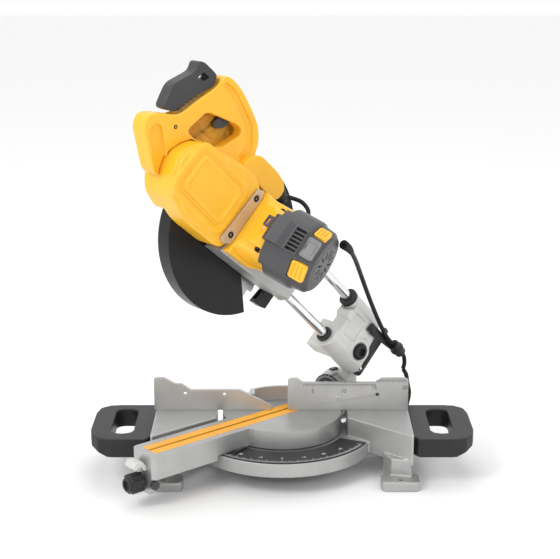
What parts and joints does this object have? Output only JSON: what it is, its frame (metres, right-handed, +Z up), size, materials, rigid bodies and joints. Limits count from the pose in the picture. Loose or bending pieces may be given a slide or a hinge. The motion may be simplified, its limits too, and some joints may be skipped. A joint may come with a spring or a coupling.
{
  "type": "sliding miter saw",
  "caption": "Compound sliding miter saw with turning table, split fence, tilting slide carrier, yellow motor head, D handle and guarded blade.",
  "frame": {"origin": "turntable axis at the bench plane, on the underside of the centre hub", "axes": "+X to the right along the fence, +Y back, +Z up; head raised and table turned fully left"},
  "size_m": [0.608, 0.4562, 0.6684],
  "materials": {
    "yellow_plastic": "moulded, satin gloss",
    "black_plastic": "moulded, fine texture",
    "grey_plastic": "moulded",
    "cast_aluminium": "die cast, machined top faces",
    "steel": "turned",
    "chrome_steel": "polished",
    "copper_winding": "wound",
    "bronze": "sintered",
    "scale_black": "anodised",
    "kerf_yellow": "moulded",
    "cord_rubber": "satin"
  },
  "bodies": {
    "base": {"base_casting": "cast_aluminium", "mitre_scale": "scale_black", "fence_casting": "cast_aluminium", "side_handle_left": "black_plastic", "side_handle_right": "black_plastic", "turntable_pivot_bolt": "steel", "cord_floor": "cord_rubber", "cord_coil": "cord_rubber", "cord_plug": "cord_rubber"},
    "sliding_fence": {"left_fence": "cast_aluminium"},
    "table": {"turntable": "cast_aluminium", "kerf_plate_left": "kerf_yellow", "kerf_plate_right": "kerf_yellow", "arm_end_cap": "black_plastic", "bevel_scale": "scale_black", "bevel_pivot_pin": "steel"},
    "mitre_lock": {"mitre_lock_rod": "steel", "mitre_knob": "black_plastic"},
    "detent": {"detent_lever": "cast_aluminium"},
    "bevel_frame": {"bevel_arm": "cast_aluminium", "bevel_pointer": "grey_plastic", "cord_fall": "cord_rubber"},
    "bevel_lock": {"bevel_lock_lever": "black_plastic"},
    "lock_pin": {"transport_pin": "black_plastic"},
    "rail_carrier": {"carrier": "cast_aluminium", "chop_pivot_shaft": "steel", "pivot_bolt_head": "steel", "head_return_spring": "steel", "lower_rail_bush": "bronze", "upper_rail_bush": "bronze", "rail_seal": "black_plastic", "cord_clamp": "black_plastic", "cord_drop": "cord_rubber"},
    "rail_lock": {"rail_lock_knob": "black_plastic"},
    "saw_head": {"lower_rail": "chrome_steel", "upper_rail": "chrome_steel", "rail_end_plate": "black_plastic", "gear_case": "cast_aluminium", "head_housing": "yellow_plastic", "side_panel": "yellow_plastic", "handle_left": "yellow_plastic", "handle_right": "yellow_plastic", "motor_housing": "yellow_plastic", "motor_end_cap": "black_plastic", "stator": "copper_winding", "upper_blade_guard": "grey_plastic", "dust_chute": "grey_plastic", "cable_tube": "yellow_plastic", "cable_gland": "black_plastic", "cord_lead": "cord_rubber"},
    "motor_shaft": {"armature": "steel"},
    "blade_arbor": {"arbor_shaft": "steel", "blade": "steel", "outer_flange": "steel", "blade_bolt": "steel", "drive_gear": "steel"},
    "lower_guard": {"lower_blade_guard": "black_plastic"},
    "trigger_switch": {"trigger": "black_plastic"},
    "release": {"release_lever": "grey_plastic"},
    "spindle_button": {"spindle_lock": "black_plastic"}
  },
  "joints": [
    {"name": "mitre_turn", "type": "hinge", "parent": "base", "child": "table", "pos_m": [0, 0, 0.086], "axis": [0, 0, 1], "range_deg": [0, 100]},
    {"name": "fence_slide", "type": "slide", "parent": "base", "child": "sliding_fence", "axis": [-1, 0, 0], "range_m": [0, 0.06]},
    {"name": "mitre_lock_turn", "type": "hinge", "parent": "table", "child": "mitre_lock", "pos_m": [-0.22215, -0.18641, 0.04], "axis": [0.766, 0.6428, 0], "range_deg": [0, 270]},
    {"name": "detent_press", "type": "hinge", "parent": "table", "child": "detent", "pos_m": [-0.21296, -0.17869, 0.062], "axis": [0.6428, -0.766, 0], "range_deg": [0, 8], "stiffness_Nm_per_rad": 3, "springref_deg": -8.59},
    {"name": "bevel_tilt", "type": "hinge", "parent": "table", "child": "bevel_frame", "pos_m": [0.09652, 0.08099, 0.086], "axis": [-0.766, -0.6428, 0], "range_deg": [0, 48]},
    {"name": "bevel_lock_turn", "type": "hinge", "parent": "bevel_frame", "child": "bevel_lock", "pos_m": [0.10725, 0.08999, 0.086], "axis": [0.766, 0.6428, 0], "range_deg": [0, 40]},
    {"name": "transport_lock", "type": "slide", "parent": "bevel_frame", "child": "lock_pin", "axis": [-0.6428, 0.766, 0], "range_m": [0, 0.008]},
    {"name": "chop", "type": "hinge", "parent": "bevel_frame", "child": "rail_carrier", "pos_m": [0.08886, 0.07456, 0.177], "axis": [0.6428, -0.766, 0], "range_deg": [0, 44.3], "stiffness_Nm_per_rad": 12, "springref_deg": -148.97, "deforming": ["cord_drop", "cord_fall", "cord_floor"]},
    {"name": "rail_lock_turn", "type": "hinge", "parent": "rail_carrier", "child": "rail_lock", "pos_m": [0.11587, 0.08417, 0.23215], "axis": [0.6428, -0.766, 0], "range_deg": [0, 180]},
    {"name": "rail_slide", "type": "slide", "parent": "rail_carrier", "child": "saw_head", "axis": [0.5417, 0.4545, -0.7071], "range_m": [0, 0.115], "deforming": ["cord_lead"]},
    {"name": "blade_spin", "type": "hinge", "parent": "saw_head", "child": "blade_arbor", "pos_m": [-0.07581, -0.06361, 0.40186], "axis": [0.6428, -0.766, 0], "continuous": true},
    {"name": "motor_spin", "type": "hinge", "parent": "saw_head", "child": "motor_shaft", "pos_m": [-0.05234, -0.10919, 0.42732], "axis": [0.8296, -0.4006, -0.3889], "continuous": true},
    {"name": "guard_swing", "type": "hinge", "parent": "saw_head", "child": "lower_guard", "pos_m": [-0.07581, -0.06361, 0.40186], "axis": [0.6428, -0.766, 0], "range_deg": [-107, 0]},
    {"name": "trigger_pull", "type": "hinge", "parent": "saw_head", "child": "trigger_switch", "pos_m": [-0.08262, -0.0863, 0.58712], "axis": [0.6428, -0.766, 0], "range_deg": [0, 3], "stiffness_Nm_per_rad": 1, "springref_deg": -11.46},
    {"name": "release_squeeze", "type": "hinge", "parent": "saw_head", "child": "release", "pos_m": [-0.16658, -0.15675, 0.60338], "axis": [-0.6428, 0.766, 0], "range_deg": [0, 4], "stiffness_Nm_per_rad": 2, "springref_deg": -17.19},
    {"name": "spindle_press", "type": "slide", "parent": "saw_head", "child": "spindle_button", "axis": [-0.5417, -0.4545, -0.7071], "range_m": [0, 0.005], "stiffness_N_per_m": 400, "springref_m": -0.004}
  ],
  "couplings": [
    {"joint": "motor_spin", "follows": "blade_spin", "ratio": -2.92},
    {"joint": "guard_swing", "follows": "chop", "ratio": -2.4}
  ]
}
